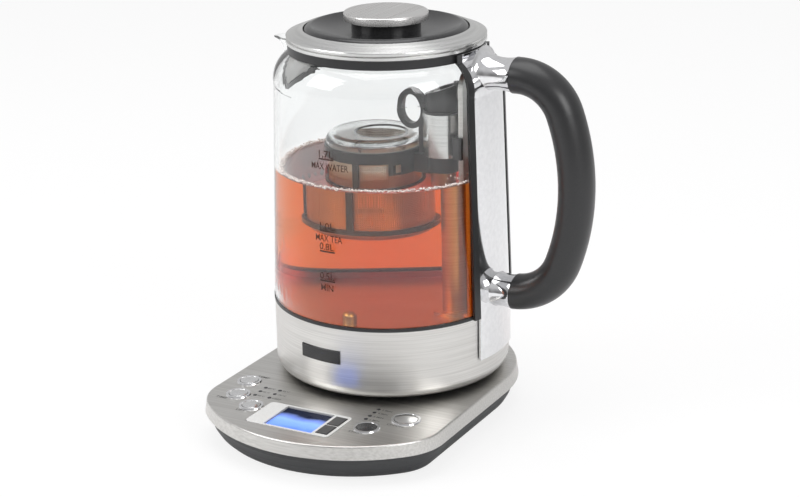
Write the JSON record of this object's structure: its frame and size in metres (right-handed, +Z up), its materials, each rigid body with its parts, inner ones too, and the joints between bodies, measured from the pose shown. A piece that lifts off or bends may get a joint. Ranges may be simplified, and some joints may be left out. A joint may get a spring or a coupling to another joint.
{
  "type": "automatic tea maker",
  "caption": "Glass jug with a steel foot and collar, D-shaped grip, lidded mouth and a motor-lifted tea strainer, standing on a power base with a sloping front control panel.",
  "frame": {"origin": "on the table surface, below the jug's axis, at the centre foot", "axes": "+Z up along the jug's axis, +X towards the handle, -Y towards the control panel"},
  "size_m": [0.2115, 0.215, 0.245],
  "materials": {
    "black_plastic": "fine satin",
    "brushed_steel": "brushed",
    "polished_steel": "polished",
    "chrome": "bright",
    "rubber": "matt",
    "screw_steel": "turned",
    "contact_brass": "bright",
    "board_green": "solder mask",
    "switch_black": "matt",
    "light_lens": "clear",
    "panel_grey": "satin",
    "screen_glass": "clear",
    "screen_blue": "backlit",
    "badge_dark": "gloss",
    "element_alloy": "cast",
    "seal_silicone": "satin",
    "jug_glass": "clear",
    "grip_black": "soft satin",
    "lid_black": "satin",
    "gear_nylon": "moulded",
    "magnet_grey": "plated",
    "motor_zinc": "drawn",
    "holder_black": "satin",
    "steel_mesh": "woven",
    "clear_plastic": "clear",
    "button_chrome": "bright",
    "button_dark": "gloss",
    "key_black": "satin"
  },
  "bodies": {
    "jug_plug": {"jug_connector": "black_plastic"},
    "lid": {"lid_dish": "lid_black", "lid_gasket": "seal_silicone", "lid_stem": "lid_black", "lid_knob_disc": "brushed_steel", "lid_screw": "screw_steel"},
    "lift_screw": {"lead_screw": "screw_steel", "screw_gear": "gear_nylon"},
    "pinion": {"motor_pinion": "gear_nylon"},
    "inner_magnet": {"magnet_nut": "magnet_grey"},
    "carriage": {"magnet_sleeve": "polished_steel", "ring_magnet": "magnet_grey", "sleeve_cap": "holder_black", "basket_holder": "holder_black", "finger_ring": "holder_black", "guide_shoe": "holder_black", "strainer_cup": "steel_mesh", "strainer_lid": "clear_plastic"},
    "rear_button_body": {"rear_button": "button_chrome"},
    "outer_button_body": {"outer_button": "button_chrome"},
    "front_button_body": {"front_button": "button_chrome"},
    "start_button_body": {"start_button": "button_dark"},
    "power_button_body": {"power_button": "button_chrome"},
    "up_key_body": {"up_key": "key_black"},
    "down_key_body": {"down_key": "key_black"},
    "jug": {"jug_bottom_cover": "black_plastic", "jug_base_shell": "brushed_steel", "badge_plate": "badge_dark", "heating_plate": "brushed_steel", "heating_element": "element_alloy", "temperature_sensor": "brushed_steel", "glass_seal_ring": "seal_silicone", "glass_body": "jug_glass", "collar_ring": "polished_steel", "spout_filter_frame": "holder_black", "spout_filter_mesh": "steel_mesh", "collar_gasket": "seal_silicone", "handle_panel": "chrome", "panel_gasket": "seal_silicone", "upper_socket": "chrome", "lower_socket": "chrome", "handle_grip": "grip_black", "lift_post": "brushed_steel", "guide_rail": "brushed_steel", "lift_motor": "motor_zinc"},
    "base": {"base_housing": "black_plastic", "base_top_plate": "brushed_steel", "rubber_feet": "rubber", "base_screws": "screw_steel", "cord_grommet": "rubber", "power_socket": "black_plastic", "socket_contacts": "contact_brass", "control_board": "board_green", "board_switches": "switch_black", "button_bezels": "chrome", "indicator_lights": "light_lens", "display_bezel": "panel_grey", "screen_window": "screen_glass", "screen_module": "screen_blue"}
  },
  "joints": [
    {"name": "jug_lift", "type": "slide", "parent": "base", "child": "jug_plug", "axis": [0, 0, 1], "range_m": [0, 0.12]},
    {"name": "jug_swivel", "type": "hinge", "parent": "jug_plug", "child": "jug", "pos_m": [0, 0, 0.03], "axis": [0, 0, 1], "continuous": true},
    {"name": "lid_lift", "type": "slide", "parent": "jug", "child": "lid", "axis": [0, 0, 1], "range_m": [0, 0.08]},
    {"name": "basket_lift", "type": "slide", "parent": "jug", "child": "carriage", "axis": [0, 0, 1], "range_m": [-0.044, 0]},
    {"name": "inner_magnet_lift", "type": "slide", "parent": "jug", "child": "inner_magnet", "axis": [0, 0, 1], "range_m": [-0.044, 0]},
    {"name": "lift_screw_spin", "type": "hinge", "parent": "jug", "child": "lift_screw", "pos_m": [0.0368, 0, 0.06], "axis": [0, 0, 1], "range_deg": [-720, 0]},
    {"name": "pinion_spin", "type": "hinge", "parent": "jug", "child": "pinion", "pos_m": [0.0205, 0, 0.054], "axis": [0, 0, 1], "range_deg": [0, 1440]},
    {"name": "rear_button_press", "type": "slide", "parent": "base", "child": "rear_button_body", "axis": [0, 0, 1], "range_m": [-0.0008, 0], "stiffness_N_per_m": 600, "springref_m": 0.0005},
    {"name": "outer_button_press", "type": "slide", "parent": "base", "child": "outer_button_body", "axis": [0, 0, 1], "range_m": [-0.0008, 0], "stiffness_N_per_m": 600, "springref_m": 0.0005},
    {"name": "front_button_press", "type": "slide", "parent": "base", "child": "front_button_body", "axis": [0, 0, 1], "range_m": [-0.0008, 0], "stiffness_N_per_m": 600, "springref_m": 0.0005},
    {"name": "start_button_press", "type": "slide", "parent": "base", "child": "start_button_body", "axis": [0, 0, 1], "range_m": [-0.0008, 0], "stiffness_N_per_m": 600, "springref_m": 0.0005},
    {"name": "power_button_press", "type": "slide", "parent": "base", "child": "power_button_body", "axis": [0, 0, 1], "range_m": [-0.0008, 0], "stiffness_N_per_m": 600, "springref_m": 0.0005},
    {"name": "up_key_press", "type": "slide", "parent": "base", "child": "up_key_body", "axis": [0, 0, 1], "range_m": [-0.0008, 0], "stiffness_N_per_m": 600, "springref_m": 0.0005},
    {"name": "down_key_press", "type": "slide", "parent": "base", "child": "down_key_body", "axis": [0, 0, 1], "range_m": [-0.0008, 0], "stiffness_N_per_m": 600, "springref_m": 0.0005}
  ],
  "couplings": [
    {"joint": "inner_magnet_lift", "follows": "basket_lift", "ratio": 1},
    {"joint": "lift_screw_spin", "follows": "basket_lift", "rad_per_m": 285.6},
    {"joint": "pinion_spin", "follows": "basket_lift", "rad_per_m": -571.2}
  ]
}
